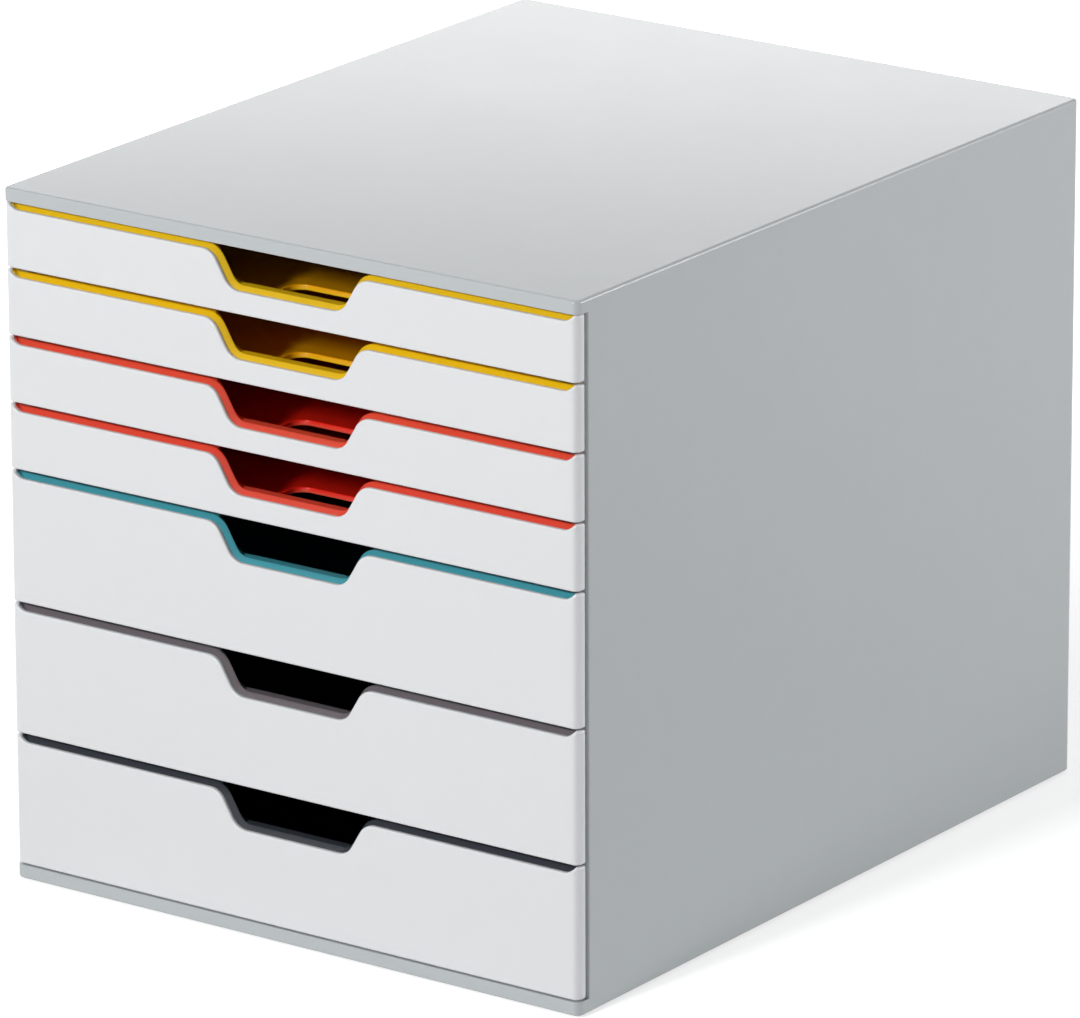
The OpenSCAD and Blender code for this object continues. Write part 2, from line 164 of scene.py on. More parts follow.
class TowerColours(bpy.types.PropertyGroup):
    """Colours of the plastics and the rubber"""

    housing: colour("Housing", "Grey of the housing and the back", (0.480, 0.512, 0.524))
    runner: colour("Runners", "Grey of the runner racks", (0.42, 0.44, 0.45))
    front: colour("Fronts", "White of the drawer fronts", (0.74, 0.75, 0.765))
    yellow: colour("Yellow", "Yellow of the top two trays", (0.88, 0.555, 0.009))
    red: colour("Coral red", "Red of the third and fourth trays", (0.81, 0.08, 0.045))
    teal: colour("Teal", "Teal of the fifth tray", (0.055, 0.345, 0.415))
    taupe: colour("Taupe", "Grey-brown of the sixth tray", (0.168, 0.142, 0.153))
    anthracite: colour("Anthracite", "Dark grey of the lowest tray", (0.044, 0.051, 0.062))
    rubber: colour("Rubber", "Black of the feet", (0.03, 0.03, 0.03))


def share(name, description, value):
    """A brightness of one of the lamps or of the sky."""
    return FloatProperty(name=name, description=description, default=value, min=0, max=4)


class TowerStudio(bpy.types.PropertyGroup):
    """Camera, lamps and sky"""

    turn: FloatProperty(
        name="Camera turn", description="Camera's angle to the right of straight ahead", subtype="ANGLE",
        default=math.radians(35.561),
    )
    height: FloatProperty(
        name="Camera height", description="Camera's angle above the horizontal", subtype="ANGLE",
        default=math.radians(17.879),
    )
    roll: FloatProperty(
        name="Camera roll", description="Camera's turn about its own line of sight", subtype="ANGLE",
        default=math.radians(-0.199),
    )
    place: FloatVectorProperty(
        name="Camera place", description="Where the camera stands", subtype="TRANSLATION", size=3,
        default=(2.1581, -3.0260, 1.3353),
    )
    focal: FloatProperty(name="Lens", description="Focal length in millimetres", default=318.8, min=20)
    key: share("Key light", "Level of the lamp in front, where 1 is a white sky", 0.645)
    side: share("Side light", "Level of the lamp at the front left, where 1 is a white sky", 0.06)
    back: share("Back light", "Level of the lamp at the rear right, where 1 is a white sky", 0.69)
    top: share("Top light", "Level of the lamp overhead, where 1 is a white sky", 0.12)
    edge: share("Edge light", "Level of the lamp high at the left, where 1 is a white sky", 0.06)
    sheen: share("Sheen", "Brightness of the low lamp that the tower's top reflects", 1.85)
    sky: share("Sky", "Level of the even light from all round", 0.08)


# ---- lines and surfaces ----


def inset_lines(corners, radii, insets=(0,), closed=False, steps=12):
    """A line with an arc in each corner, drawn once for each inset: points by insets by two coordinates.

    Each run moves to its left by the inset. Where one run turns into the next, the moved runs meet at the
    corner plus inset * m, with m = (n1 + n2) / (1 + n1 . n2) and n1, n2 the runs' unit normals to the left.
    There an arc takes the corner's place. Its radius is r less the inset where the line turns left, and r
    more the inset where it turns right. Its points lie that far from its centre, along a normal that turns
    evenly from n1 to n2. A short brace before and after each arc keeps shading level on the runs. A radius of
    0 keeps the corner. Steps is the number of chords in a quarter turn.
    """
    corners, insets = np.asarray(corners, float), np.asarray(insets, float)
    runs = np.roll(corners, -1, axis=0) - corners
    if not closed:
        runs[-1] = runs[-2]
    runs /= np.hypot(runs[:, 0], runs[:, 1])[:, None]
    before = np.roll(runs, 1, axis=0)
    if not closed:
        before[0] = runs[0]
    first, last = (np.stack([-way[:, 1], way[:, 0]], 1) for way in (before, runs))
    mitre = (first + last) / (1 + (first * last).sum(1))[:, None]
    turns = np.arctan2(before[:, 0] * runs[:, 1] - before[:, 1] * runs[:, 0], (before * runs).sum(1))
    parts = []
    for k, (radius, turn) in enumerate(zip(radii, turns)):
        tip = corners[k] + insets[:, None] * mitre[k]
        if radius == 0:
            parts.append(tip[None])
            continue
        side = math.copysign(1, turn)
        r = np.maximum(radius - side * insets, SMALLEST_ARC)[:, None]
        swing = np.linspace(0, turn, max(2, math.ceil(steps * abs(turn) / QUARTER)) + 1)[:, None, None]
        normal = np.cos(swing) * first[k] + np.sin(swing) * np.array([-first[k, 1], first[k, 0]])
        arc = tip + side * r * (mitre[k] - normal)
        parts += [arc[:1] - BRACE * before[k], arc, arc[-1:] + BRACE * runs[k]]
    return np.concatenate(parts)


def mirrored(right):
    """Corners on the right, from the side to the middle, then their mirror images back out to the left."""
    return [*right, *((-x, z) for x, z in reversed(right))]


def both_ways(radii):
    """The radii that belong to mirrored corners."""
    return [*radii, *reversed(radii)]


def quarter(radius, steps=4):
    """(along, down) of a quarter circle from one face of an edge to the other, both measured from the edge:
    along = r * (1 - sin t) and down = r * (1 - cos t), with t from 0 to a quarter turn."""
    t = np.linspace(0, QUARTER, steps + 1)
    return np.stack([radius * (1 - np.sin(t)), radius * (1 - np.cos(t))], 1)


def smooth_step(x, start, end):
    """Rises from 0 to 1 between start and end as 3 t^2 - 2 t^3."""
    t = np.clip((x - start) / (end - start), 0, 1)
    return t * t * (3 - 2 * t)


# Metres within which two points are one
SAME_POINT = 1e-7


class Shells:
    """Collects closed shells of grids and flat faces, in millimetres with y measured back from the fronts."""

    def __init__(self):
        self.points, self.quads, self.flats, self.count = [], [], [], 0

    def grid(self, x, y, z, closed_u=False, closed_v=False):
        """Quads between neighbouring rows and columns of points. Returns the numbers of the points."""
        x, y, z = np.broadcast_arrays(x, y, z)
        numbers = self.count + np.arange(x.size).reshape(x.shape)
        self.points.append(np.stack([x, y, z], -1).reshape(-1, 3))
        self.count += x.size
        a = np.vstack([numbers, numbers[:1]]) if closed_u else numbers
        a = np.hstack([a, a[:, :1]]) if closed_v else a
        self.quads.append(np.stack([a[:-1, :-1], a[1:, :-1], a[1:, 1:], a[:-1, 1:]], -1).reshape(-1, 4))
        return numbers

    def tube(self, x, y, z):
        """A closed section, one row for each place along a line, with a flat face at either end."""
        numbers = self.grid(x, y, z, closed_v=True)
        self.flat(numbers[0])
        self.flat(numbers[-1])

    def flat(self, ring):
        """One flat face over a ring of points."""
        self.flats.append(ring.tolist())

    def flat_ring(self, outer, inner):
        """Two flat faces that fill the space between an outer and an inner ring, both drawn the same way."""
        o, i = len(outer) // 2, len(inner) // 2
        self.flat(np.concatenate([outer[: o + 1], inner[: i + 1][::-1]]))
        self.flat(np.concatenate([outer[o:], outer[:1], inner[:1], inner[i:][::-1]]))

    def slab(self, corners, radii, y0, y1, edge, inside=0.0, steps=3):
        """Plate that stands in the x, z plane, inside an outline that runs with the plate on its left. At
        each face the outline shrinks by a quarter circle, so that both faces' edges are rounded."""
        turn = np.vstack([[edge + BRACE, 0], quarter(edge, steps)])
        insets = inside + np.concatenate([turn[:, 0], turn[::-1, 0]])
        y = np.concatenate([y0 + turn[:, 1], y1 - turn[::-1, 1]])
        line = inset_lines(corners, radii, insets, closed=True)
        numbers = self.grid(line[..., 0], y, line[..., 1], closed_u=True)
        self.flat(numbers[:, 0])
        self.flat(numbers[:, -1])

    def block(self, x0, x1, y0, y1, z0, z1, edge, steps=1):
        """Plate with a rectangular outline."""
        self.slab([(x0, z0), (x1, z0), (x1, z1), (x0, z1)], [0] * 4, y0, y1, edge, steps=steps)

    def piece(self, name, material, slot, body, nodes, crease=38):
        """The mesh in metres as an object at the origin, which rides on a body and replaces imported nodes."""
        points = np.concatenate(self.points)
        points[:, 1] -= HALF_DEPTH
        mesh = bpy.data.meshes.new(name)
        faces = [quad for block in self.quads for quad in block.tolist()] + self.flats
        mesh.from_pydata((points / 1000).tolist(), [], faces)
        shape = bmesh.new()
        shape.from_mesh(mesh)
        bmesh.ops.remove_doubles(shape, verts=shape.verts, dist=SAME_POINT)
        bmesh.ops.recalc_face_normals(shape, faces=shape.faces)
        shape.to_mesh(mesh)
        shape.free()
        mesh.shade_smooth()
        mesh.set_sharp_from_angle(angle=math.radians(crease))
        mesh.materials.append(material)
        thing = bpy.data.objects.new(name, mesh)
        bpy.context.scene.collection.objects.link(thing)
        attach(thing, body)
        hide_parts(*nodes)
        return thing


def millimetres(group):
    """The lengths of a property group in millimetres, by name."""
    return {name: 1000 * getattr(group, name) for name in group.__annotations__}


# ---- the drawers' shared outline ----


def cut_corners(size, top, rise=0.0, spread=0.0):
    """Right-hand corners of the finger cut-out, the upper one first. Rise lifts the outline, and its flank
    moves along itself. Spread moves the flank outwards, square to itself."""
    run = (size["cut_top"] - size["cut_bottom"]) / 2
    lean = run / size["cut_depth"]
    low_x = size["cut_bottom"] / 2 + spread * math.hypot(1, lean) + rise * lean
    return [(low_x + run, top + rise), (low_x, top - size["cut_depth"] + rise)]


def cut_radii(size, spread=0.0):
    """Radii at those corners, for an outline moved outwards by the spread."""
    return [size["high_round"] - spread, size["low_round"] + spread]


def sweep_foot(size, front_half):
    """The x at which the level top edge begins to sweep up to an ear."""
    return front_half - size["ear_width"] - size["sweep"]


def closed_below(right, low):
    """Closed outline, with the material on its left, between a mirrored top line and a level low edge."""
    x = right[0][0]
    return [(-x, low), (x, low), *mirrored(right)]


# ---- drawer fronts ----


def front_sheet(size, low, high, half, depth, bend_steps=12, end_steps=4):
    """A drawer front: a flat sheet with the outline of the front, wrapped round both upright corners.

    On the flat sheet, s runs across and z up. The top line and the bottom line share s, and a closed profile
    runs over the thickness: down the outer face, back along the bottom, up the inner face and over the top
    edge. Each edge point is inset from its line by r * (1 - sin t) at depth r * (1 - cos t). Wrapping puts s
    up to the bend on the flat face, turns by s / r round the corner and runs straight back along the side. At
    the two ends the profile shrinks by r * (1 - cos t) while s grows by r * sin t.
    """
    thick, bend, edge, tip = (size[name] for name in ("sheet", "bend", "front_edge", "front_end"))
    flat, arc = half - bend, bend * QUARTER
    end = flat + arc + depth - bend - tip
    ear = flat + bend * math.asin((half - size["ear_width"] - flat) / bend)
    top = high - size["ear"]
    corners = mirrored([(end, high), (ear, high), (sweep_foot(size, half), top), *cut_corners(size, top)])
    radii = both_ways([0, size["ear_round"], size["sweep_round"], *cut_radii(size)])

    outer, inner = quarter(edge), quarter(size["front_inner"], 3)[::-1]
    inner[:, 1] = thick - inner[:, 1]
    inset, deep = np.vstack([[edge + BRACE, 0], outer, inner, [edge + BRACE, thick]]).T
    line = inset_lines(corners, radii, inset)
    steps = np.arange(len(line))
    turns = flat + np.linspace(0, arc, bend_steps + 1)
    marks = np.interp(np.concatenate([-turns, turns]), -line[:, len(outer), 0], steps)
    marks = np.union1d(steps, marks)
    s, z = (np.stack([np.interp(marks, steps, column) for column in line[..., i].T], 1) for i in (0, 1))
    s = np.hstack([s, s[:, ::-1]])
    z = np.hstack([z, np.broadcast_to(low + inset[::-1], z.shape)])
    w = np.broadcast_to(np.concatenate([deep, deep[::-1]]), s.shape)

    swing = np.linspace(0, QUARTER, end_steps + 1)[1:, None]
    grow, shrink = tip * np.sin(swing), tip * (1 - np.cos(swing))
    inwards = np.repeat([-1, 1], len(deep))
    right, left = (
        (s[row] + side * grow, z[row] + inwards * shrink, w[row] + shrink * (1 - 2 * w[row] / thick))
        for row, side in ((0, 1), (-1, -1))
    )
    s, z, w = (np.vstack([a[::-1], b, c]) for a, b, c in zip(right, (s, z, w), left))
    across = np.abs(s)
    turn = np.clip((across - flat) / bend, 0, QUARTER)
    x = np.sign(s) * (np.minimum(across, flat) + (bend - w) * np.sin(turn))
    y = bend - (bend - w) * np.cos(turn) + np.maximum(across - flat - arc, 0)
    shells = Shells()
    shells.tube(x, y, z)
    return shells


# ---- trays ----


# Sideways part of a rim line's normal up to which the rim counts as level, and from which it is a flank
LEVEL, FLANK = 0.05, 0.4
# Millimetres by which a tray's front corners are rounder than the inside of the bend round them
CORNER_PLAY = 0.1
# Depths in millimetres below a tray's upper edge between which its colour goes over into painted shade
SHADE_FROM, SHADE_TO = 1, 8


def rim_line(size, half, low, top, level_ends, lift=0.0):
    """Corners and radii of the line over a tray's rim, from right to left: up the side, down the sweep behind
    the front's ear, along the level top and round the cut-out. Lift raises the level parts and narrows the
    cut-out all round by as much. The sweep and the side stay on their own lines, and the arc between the
    sweep and the level top gets tighter with the lift."""
    climb = size["ear"] / size["sweep"]
    foot = sweep_foot(size, half + size["sheet"])
    right = [(half, low), (half, top + (half - foot) * climb), (foot + lift / climb, top + lift)]
    right += [(x, top + lift) for x in level_ends]
    right += cut_corners(size, top, lift, -lift)
    foot_round = size["sweep_round"] / (1 + lift)
    radii = [0, 0, foot_round, *[0] * len(level_ends), *cut_radii(size, -lift)]
    return mirrored(right), both_ways(radii)


def rim_band(shells, size, half, side_x, low, top, front):
    """The coloured lip of a tray: a section carried along the rim, up one side, along the top and down.

    In the section, n rises out of the front's edge and y runs back. From the edge the lip slopes up to its
    full rise, runs level to its rear and drops behind. Where n is above 0, a point is mixed from the edge's
    line and the lifted line in proportion to n. Below 0, it is on the edge's line inset by -n. The rear of
    the lip lies at the back of the front wall, and further forward at the sides and on the two flanks.
    """
    rise, skin, rear = size["lip_rise"], size["skin"], front + size["rim"]
    slope_end = front + size["lip_slope"]
    section = [(-skin, front), (0, front), (rise, slope_end), (rise, rear), (0, rear), (-skin, rear)]
    n, y = inset_lines(section, [0, 0, size["lip_round"], size["lip_rear"], 0, 0], closed=True)[:, 0].T
    level_ends = (side_x + OVERLAP, side_x)
    edge = rim_line(size, half, low, top, level_ends)
    lifted = rim_line(size, half, low, top, level_ends, rise)
    below = inset_lines(*edge, np.maximum(-n, 0))
    line = below + (inset_lines(*lifted) - below) * (np.maximum(n, 0) / rise)[:, None]

    bare, inner = np.moveaxis(inset_lines(*edge, (0, 1)), 1, 0)
    lean = smooth_step(np.abs(inner[:, 0] - bare[:, 0]), LEVEL, FLANK)
    beside = smooth_step(np.abs(bare[:, 0]), *level_ends[::-1])
    wall_rear = rear + size["front_wall"]
    reach = wall_rear + (size["lip_flank"] - wall_rear) * lean
    reach += (rear - reach) * beside
    at_rear = (n >= 0) & (y > (slope_end + rear) / 2)
    y = np.where(at_rear, y + (reach - rear)[:, None], y)
    x, z = tuck_into_bend(size, half, front, line[..., 0], y), line[..., 1]
    shells.tube(x, y, z)


def tuck_into_bend(size, half, front, x, y):
    """Keeps a tray's front corners inside the bend of the drawer front: |x| is at most the x that a circle of
    the bend's inner radius and a little more has at the same y."""
    radius = size["bend"] - size["sheet"] + CORNER_PLAY
    ahead = np.clip(front + radius - y, 0, radius)
    limit = half - radius + np.sqrt(np.maximum(radius**2 - ahead**2, 0))
    return np.sign(x) * np.minimum(np.abs(x), limit)


def hollow_rim(shells, size, half, tray_half, rim_low, low, top, front):
    """The rim's front skin, the ribs across its hollow and the front wall, whose opening stands back from the
    lip at the flanks so that fingers can hook behind it."""
    rear, lift = front + size["rim"], size["lip_rise"] - SINK
    corners, radii = rim_line(size, half, rim_low, top, ())
    shells.slab(corners, radii, front + SINK, front + size["skin"], OVERLAP / 2, inside=OVERLAP, steps=1)
    start = cut_corners(size, top)[0][0] + size["high_round"]
    count = int((half - start) // size["rib_pitch"])
    for place in start + (0.5 + np.arange(count)) * size["rib_pitch"]:
        for x in (-place, place):
            sides = x - size["rib"] / 2, x + size["rib"] / 2
            shells.block(*sides, front + size["skin"] - OVERLAP, rear + OVERLAP, rim_low, top, OVERLAP / 2)
    right = [(tray_half - OVERLAP, top + lift), *cut_corners(size, top, lift, size["flank_step"])]
    radii = [0, 0, *both_ways([0, *cut_radii(size)])]
    shells.slab(closed_below(right, low), radii, rear, rear + size["front_wall"] - SINK, OVERLAP)


def tray_wall(shells, size, half, front_y, rear_y, low, top):
    """Side walls and rear wall of a tray: one section carried along a U from front to front, with arcs at the
    two rear corners. The section has a foot as thick as the floor, a cove, a rounded top and the flange."""
    wall, thick, out, edge = size["wall"], size["flange_t"], size["flange"], size["wall_round"]
    foot, floor = wall + size["cove"] + 2 * OVERLAP, low + size["floor"]
    section = [
        ((foot, low), 0),
        ((foot, floor), 0),
        ((wall, floor), size["cove"]),
        ((wall, top), edge),
        ((-out, top), edge),
        ((-out, top - thick), edge),
        ((0, top - thick), size["flange_root"]),
        ((0, low), size["foot_edge"]),
    ]
    inset, z = inset_lines(*zip(*section), closed=True)[:, 0].T
    route = [(half, front_y), (half, rear_y), (-half, rear_y), (-half, front_y)]
    path = inset_lines(route, [0, size["rear_round"], size["rear_round"], 0], inset)
    shells.tube(path[..., 0], path[..., 1], z)


def tray_floor(shells, size, half, front_y, rear_y, low, hole, slope_steps=6, edge_steps=4):
    """Floor between the walls' feet. A hole, if any, has a raised bead: a section carried round the hole's
    outline, which rises as (1 - cos(pi t)) / 2 with t from 0 to 1, rounds over into the hole by a quarter
    circle and comes out under the floor by another."""
    under, over = low + SINK / 2, low + size["floor"] - SINK / 2
    rectangle = [(-half, front_y), (half, front_y), (half, rear_y), (-half, rear_y)]
    outline = inset_lines(rectangle, [OVERLAP] * 4, closed=True)
    rim = shells.grid(outline[..., 0], outline[..., 1], np.array([[over, under]]), closed_u=True)
    if hole is None:
        shells.flat(rim[:, 0])
        shells.flat(rim[:, 1])
        return
    w, end, bead = size["hole_width"] / 2, hole + size["hole_length"], size["bead"]
    crest, soft = low + size["floor"] + size["bead_rise"], bead / 4
    t, q = np.linspace(0, 1, slope_steps + 1), np.linspace(0, QUARTER, edge_steps + 1)
    away = np.concatenate([bead - (bead - 2 * soft) * t, soft * (1 - np.sin(q)), soft * (1 - np.cos(q))])
    z = np.concatenate(
        [
            over + (crest - over) * (1 - np.cos(math.pi * t)) / 2,
            crest - soft * (1 - np.cos(q)),
            under + soft * (1 - np.sin(q)),
        ]
    )
    corners = [(-w, hole), (w, hole), (w, end), (-w, end)]
    edge = inset_lines(corners, [size["hole_round"]] * 4, -away, closed=True)
    ring = shells.grid(edge[..., 0], edge[..., 1], z, closed_u=True)
    shells.flat_ring(rim[:, 0], ring[:, 0])
    shells.flat_ring(rim[:, 1], ring[:, -1])


def level_top(size, front_node):
    """Height of the level part of a front's top edge, which its tray's walls share."""
    return box_mm(front_node)[1][2] - size["ear"]


def wall_half(size):
    """Half the width of a tray over its side walls, whose flanges pass between the housing's front edges."""
    return HALF_WIDTH - FRONT_EDGE_WIDTH - SIDE_CLEARANCE - size["flange"]


def tray_shells(size, node, front_node, shallow):
    """All the shells of one tray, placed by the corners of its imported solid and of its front. The stop ears
    at its rear reach out to the runner racks' plates, short of them by the clearance."""
    (_, front, rim_low), (half, rear_y, _) = box_mm(node)
    top = level_top(size, front_node)
    low = rim_low + size["rim_drop"]
    rear_y -= size["flange"]
    tray_half = wall_half(size)
    wall_front = front + size["rim"]
    wall_rear = wall_front + size["front_wall"]
    shells = Shells()
    rim_band(shells, size, half, tray_half, rim_low, top, front)
    hollow_rim(shells, size, half, tray_half, rim_low, low, top, front)
    tray_wall(shells, size, tray_half, wall_front + OVERLAP, rear_y, low, top - SINK)
    foot = size["wall"] + size["cove"] + OVERLAP
    hole = wall_rear + size["hole_start"] if shallow else None
    tray_floor(shells, size, tray_half - foot, wall_rear - OVERLAP, rear_y - foot, low, hole)
    flange_x = tray_half + size["flange"]
    ear_x = -1000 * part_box("left_runner_rack")[0].x - RACK_PLATE - SIDE_CLEARANCE
    z0, z1 = top - size["flange_t"], top - SINK
    for x0, x1 in ((flange_x - 2 * OVERLAP, ear_x), (-ear_x, 2 * OVERLAP - flange_x)):
        shells.block(x0, x1, rear_y - size["stop_ear"], rear_y, z0, z1, OVERLAP, steps=3)
    return shells


def mark_painted_shade(tray, size, node, front_node):
    """Gives a tray's mesh the mask of its painted shade: 1 inside its walls, fading out towards the walls'
    tops.
    """
    (_, front, rim_low), (_, rear, _) = box_mm(node)
    top = level_top(size, front_node)
    points = np.empty(3 * len(tray.data.vertices))
    tray.data.vertices.foreach_get("co", points)
    x, y, z = 1000 * points.reshape(-1, 3).T
    y += HALF_DEPTH
    front += size["rim"] + size["front_wall"] - OVERLAP / 2
    rear -= size["flange"] + size["wall"] - SINK
    within = (np.abs(x) < wall_half(size) - size["wall"] + SINK) & (y > front) & (y < rear)
    within &= z > rim_low + size["rim_drop"] + size["floor"] - SINK
    # Painted shade: the deeper below the walls' tops, the darker the colour
    value = within * smooth_step(top - z, SHADE_FROM, SHADE_TO)
    tray.data.attributes.new(PAINTED_SHADE_MASK, "FLOAT", "POINT").data.foreach_set("value", value.astype(np.float32))


# ---- feet ----


# Millimetres: radius of a foot's flat middle, rounding of its lower rim, bevel of its upper one and depth of
# the grooves between its rings
FOOT_MIDDLE, FOOT_EDGE, FOOT_BEVEL, FOOT_GROOVE = 0.4, 0.5, 0.3, 0.25
FOOT_RINGS = 3


def foot_shell(centre, radius, low, high, across=40, rounding=4, around=64):
    """A disc turned about its upright axis. Its underside follows low + groove * sin(rings * pi * r / flat)^2
    out to the flat radius, which leaves rings that grip. Its lower rim is rounded, its upper one bevelled."""
    flat = radius - FOOT_EDGE
    r = np.linspace(FOOT_MIDDLE, flat, across)
    under = low + FOOT_GROOVE * np.sin(FOOT_RINGS * math.pi * r / flat) ** 2
    t = np.linspace(0, QUARTER, rounding + 1)[1:]
    r = np.concatenate([r, flat + FOOT_EDGE * np.sin(t), [radius, radius - FOOT_BEVEL]])
    z = np.concatenate([under, low + FOOT_EDGE * (1 - np.cos(t)), [high - FOOT_BEVEL, high]])
    turn = np.linspace(0, 2 * math.pi, around, endpoint=False)[:, None]
    shells = Shells()
    numbers = shells.grid(centre[0] + r * np.cos(turn), centre[1] + r * np.sin(turn), z, closed_u=True)
    shells.flat(numbers[:, 0])
    shells.flat(numbers[:, -1])
    return shells


# ---- materials ----


# Name of the mesh attribute that is 1 inside a tray, where its colour is painted shade, and the vector sockets
# of a Mix node
PAINTED_SHADE_MASK = "inside"
MIX_A, MIX_B, MIX_OUT = 4, 5, 1


def linked(tree, links):
    """Joins outputs to inputs, each given as a node and the name or number of its socket."""
    for (a, out), (b, into) in links:
        tree.links.new(a.outputs[out], b.inputs[into])


def new_group(name, rows):
    """A node group with the given sockets, its input node and its output node."""
    group = bpy.data.node_groups.new(name, "ShaderNodeTree")
    for label, kind, way, value in rows:
        socket = group.interface.new_socket(label, in_out=way, socket_type=kind)
        if value is not None:
            socket.default_value = value
    return group, group.nodes.new("NodeGroupInput"), group.nodes.new("NodeGroupOutput")


def pattern(tree, kind, **values):
    """A texture over the object's own coordinates, with the values of its sockets by name."""
    node = tree.nodes.new(kind)
    for socket, value in values.items():
        node.inputs[socket].default_value = value
    linked(tree, [((tree.nodes.new("ShaderNodeTexCoord"), "Object"), (node, "Vector"))])
    return node


def maths(tree, *operations):
    """One Math node for each operation."""
    nodes = [tree.nodes.new("ShaderNodeMath") for _ in operations]
    for node, operation in zip(nodes, operations):
        node.operation = operation
    return nodes


def tone_and_shade_group():
    """Slow drift of a moulded colour: two sizes of noise lighten and darken it by a small amount. Where the
    mesh's attribute is 1, inside a tray, the colour goes over into painted shade: a deeper, darker colour
    that stands in for the shade and the light bounced between coloured walls."""
    group, into, out = new_group(
        "Moulded tone",
        [
            ("Colour", "NodeSocketColor", "INPUT", (0.5, 0.5, 0.5, 1)),
            ("Deep colour", "NodeSocketColor", "INPUT", (0.5, 0.5, 0.5, 1)),
            ("Amount", "NodeSocketFloat", "INPUT", 0.03),
            ("Colour", "NodeSocketColor", "OUTPUT", None),
        ],
    )
    slow = pattern(group, "ShaderNodeTexNoise", Scale=9, Detail=2)
    quick = pattern(group, "ShaderNodeTexNoise", Scale=70, Detail=3)
    both, centred, scaled, shift = maths(group, "ADD", "SUBTRACT", "MULTIPLY", "ADD")
    centred.inputs[1].default_value = shift.inputs[1].default_value = 1
    # The attribute node reads the mask of the painted shade inside a tray
    inside, mixed = group.nodes.new("ShaderNodeAttribute"), group.nodes.new("ShaderNodeMix")
    inside.attribute_name, mixed.data_type = PAINTED_SHADE_MASK, "VECTOR"
    tint = group.nodes.new("ShaderNodeVectorMath")
    tint.operation = "SCALE"
    linked(
        group,
        [
            ((slow, 0), (both, 0)),
            ((quick, 0), (both, 1)),
            ((both, 0), (centred, 0)),
            ((centred, 0), (scaled, 0)),
            ((into, "Amount"), (scaled, 1)),
            ((scaled, 0), (shift, 0)),
            ((inside, "Fac"), (mixed, "Factor")),
            ((into, "Colour"), (mixed, MIX_A)),
            ((into, "Deep colour"), (mixed, MIX_B)),
            ((mixed, MIX_OUT), (tint, 0)),
            ((shift, 0), (tint, "Scale")),
            ((tint, 0), (out, 0)),
        ],
    )
    return group


def gloss_group():
    """Uneven gloss: slow noise raises and lowers the roughness round its middle value."""
    group, into, out = new_group(
        "Uneven gloss",
        [
            ("Roughness", "NodeSocketFloat", "INPUT", 0.4),
            ("Spread", "NodeSocketFloat", "INPUT", 0.08),
            ("Roughness", "NodeSocketFloat", "OUTPUT", None),
        ],
    )
    noise = pattern(group, "ShaderNodeTexNoise", Scale=25, Detail=4)
    centred, scaled, total = maths(group, "SUBTRACT", "MULTIPLY", "ADD")
    centred.inputs[1].default_value = 0.5
    linked(
        group,
        [
            ((noise, 0), (centred, 0)),
            ((centred, 0), (scaled, 0)),
            ((into, "Spread"), (scaled, 1)),
            ((into, "Roughness"), (total, 0)),
            ((scaled, 0), (total, 1)),
            ((total, 0), (out, 0)),
        ],
    )
    return group


def grain_group():
    """Surface of the mould: a fine spark-eroded grain over the slow waviness of a cooled plastic skin."""
    group, into, out = new_group(
        "Mould surface",
        [
            ("Grain", "NodeSocketFloat", "INPUT", 0.5),
            ("Wave", "NodeSocketFloat", "INPUT", 0.5),
            ("Height", "NodeSocketFloat", "OUTPUT", None),
        ],
    )
    fine = pattern(group, "ShaderNodeTexNoise", Scale=1500, Detail=2)
    pits = pattern(group, "ShaderNodeTexVoronoi", Scale=900)
    wave = pattern(group, "ShaderNodeTexNoise", Scale=28, Detail=1)
    mixed, grain, slow, total = maths(group, "ADD", "MULTIPLY", "MULTIPLY", "ADD")
    linked(
        group,
        [
            ((fine, 0), (mixed, 0)),
            ((pits, "Distance"), (mixed, 1)),
            ((mixed, 0), (grain, 0)),
            ((into, "Grain"), (grain, 1)),
            ((wave, 0), (slow, 0)),
            ((into, "Wave"), (slow, 1)),
            ((grain, 0), (total, 0)),
            ((slow, 0), (total, 1)),
            ((total, 0), (out, 0)),
        ],
    )
    return group


def shared_group(name, build):
    """The node group of that name, which is built when it is first asked for."""
    return bpy.data.node_groups.get(name) or build()


# Power by which a colour's weaker parts, as shares of its strongest, sink further in the painted shade inside
# a tray
SHADE_POWER = 0.7
# Metres that the mould's surface rises where its height is 1
RELIEF = 0.0001
# Steps across and down between the nodes, and how many stand in a row
NODE_STEP, NODE_ROW = (-260, -200), 5


